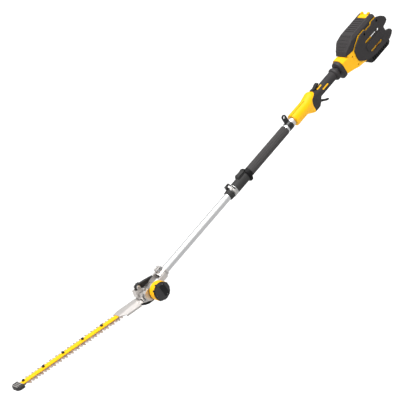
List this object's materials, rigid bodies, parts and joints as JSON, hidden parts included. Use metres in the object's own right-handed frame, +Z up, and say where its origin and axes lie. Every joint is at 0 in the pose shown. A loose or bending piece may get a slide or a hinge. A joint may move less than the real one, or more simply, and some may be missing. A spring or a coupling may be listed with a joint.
{
  "type": "pole hedge trimmer",
  "caption": "Battery pole hedge trimmer: telescoping pole with a swinging cutter head, reciprocating toothed blades, a trigger handle and a lift-out battery pack.",
  "frame": {"origin": "centre of the shoulder-strap eye above the pole", "axes": "+X along the pole from the cutter towards the battery, +Y across the tool along the strap eye, towards the user's right, +Z up, away from the rest foot"},
  "size_m": [2.3283, 0.1405, 0.2775],
  "materials": {
    "yellow_plastic": "moulded, satin",
    "yellow_paint": "painted, satin",
    "dark_plastic": "moulded, fine grain",
    "black_plastic": "moulded, satin",
    "cast_aluminium": "die cast, bead blasted",
    "tube_aluminium": "drawn, satin anodised",
    "foam": "closed-cell foam",
    "black_steel": "black oxide",
    "blade_steel": "ground",
    "steel": "machined",
    "circuit_board": "solder mask",
    "cell_can": "shrink wrapped"
  },
  "bodies": {
    "pole": {"upper_tube": "tube_aluminium", "pole_sleeve": "foam", "clamp_collar": "dark_plastic", "clamp_band": "tube_aluminium", "clamp_lever_pin": "steel", "strap_hanger": "black_plastic", "hanger_screw": "steel", "handle_shell_left": "yellow_plastic", "handle_shell_right": "yellow_plastic", "trigger_housing": "dark_plastic", "trigger_pin": "steel", "trigger_switch": "black_plastic", "lock_off_pin": "steel", "rear_grip": "dark_plastic", "grip_inlays": "yellow_plastic", "neck_flange": "dark_plastic", "neck_collar": "dark_plastic", "chassis": "yellow_plastic", "chassis_screws": "steel", "side_guard_left": "dark_plastic", "side_guard_right": "dark_plastic", "rest_foot": "black_plastic", "control_board": "circuit_board", "terminal_block": "black_plastic"},
    "mast": {"lower_tube": "tube_aluminium", "pivot_bracket": "cast_aluminium", "bracket_bolts": "steel"},
    "head": {"gear_case": "cast_aluminium", "crank_cover": "black_plastic", "gear_cover": "cast_aluminium", "blade_shroud": "cast_aluminium", "case_screws": "steel", "motor_housing": "yellow_plastic", "motor_cap": "black_plastic", "cap_screws": "steel", "motor_stator": "steel", "motor_bearings": "steel", "layshaft_bearing": "steel", "guide_bar": "yellow_paint", "blade_bolts": "black_steel", "blade_nuts": "steel", "tip_shoe": "dark_plastic", "lock_lever_pin": "steel", "pivot_cap": "cast_aluminium"},
    "rotor": {"motor_rotor": "steel", "motor_pinion": "steel"},
    "layshaft": {"layshaft": "steel", "reduction_gear": "steel", "crown_pinion": "steel"},
    "crank": {"crank": "steel"},
    "upper_blade": {"upper_blade": "blade_steel"},
    "lower_blade": {"lower_blade": "blade_steel"},
    "lock_lever": {"lock_lever": "black_plastic"},
    "clamp_lever": {"clamp_lever": "cast_aluminium"},
    "trigger": {"trigger": "black_plastic"},
    "lock_off_lever": {"lock_off_lever": "black_plastic"},
    "battery": {"battery_case": "dark_plastic", "battery_cells": "cell_can"},
    "battery_latch": {"battery_latch": "yellow_plastic"}
  },
  "joints": [
    {"name": "pole_slide", "type": "slide", "parent": "pole", "child": "mast", "axis": [1, 0, 0], "range_m": [0, 0.38]},
    {"name": "head_tilt", "type": "hinge", "parent": "mast", "child": "head", "pos_m": [-0.955, 0, -0.046], "axis": [0, 1, 0], "range_deg": [-105, 75]},
    {"name": "crank_spin", "type": "hinge", "parent": "head", "child": "crank", "pos_m": [-0.99475, 0, -0.06196], "axis": [0.2672, 0, 0.9636], "continuous": true},
    {"name": "layshaft_spin", "type": "hinge", "parent": "head", "child": "layshaft", "pos_m": [-0.98834, -0.03, -0.03885], "axis": [0, 1, 0], "continuous": true},
    {"name": "rotor_spin", "type": "hinge", "parent": "head", "child": "rotor", "pos_m": [-0.955, -0.06, -0.046], "axis": [0, 1, 0], "continuous": true},
    {"name": "upper_blade_slide", "type": "slide", "parent": "head", "child": "upper_blade", "axis": [-0.9636, 0, 0.2672], "range_m": [-0.006, 0.006]},
    {"name": "lower_blade_slide", "type": "slide", "parent": "head", "child": "lower_blade", "axis": [-0.9636, 0, 0.2672], "range_m": [-0.006, 0.006]},
    {"name": "lock_lever_press", "type": "hinge", "parent": "head", "child": "lock_lever", "pos_m": [-0.99645, 0, 0.00285], "axis": [0, 1, 0], "range_deg": [0, 8], "stiffness_Nm_per_rad": 1.5, "springref_deg": -11.46},
    {"name": "clamp_lever_open", "type": "hinge", "parent": "pole", "child": "clamp_lever", "pos_m": [-0.3975, 0.009, -0.017], "axis": [-1, 0, 0], "range_deg": [0, 110]},
    {"name": "trigger_squeeze", "type": "hinge", "parent": "pole", "child": "trigger", "pos_m": [0.188, 0, -0.08], "axis": [0, -1, 0], "range_deg": [0, 12], "stiffness_Nm_per_rad": 0.4, "springref_deg": -17.19},
    {"name": "lock_off_press", "type": "hinge", "parent": "pole", "child": "lock_off_lever", "pos_m": [0.19, 0, -0.031], "axis": [0, 1, 0], "range_deg": [0, 8], "stiffness_Nm_per_rad": 0.4, "springref_deg": -17.19},
    {"name": "battery_lift", "type": "slide", "parent": "pole", "child": "battery", "axis": [0, 0, 1], "range_m": [0, 0.12]},
    {"name": "latch_push", "type": "slide", "parent": "battery", "child": "battery_latch", "axis": [-1, 0, 0], "range_m": [0, 0.004], "stiffness_N_per_m": 600, "springref_m": -0.003}
  ],
  "couplings": [
    {"joint": "layshaft_spin", "follows": "crank_spin", "ratio": -2.4},
    {"joint": "rotor_spin", "follows": "crank_spin", "ratio": 4.2},
    {"joint": "lower_blade_slide", "follows": "upper_blade_slide", "ratio": -1}
  ]
}
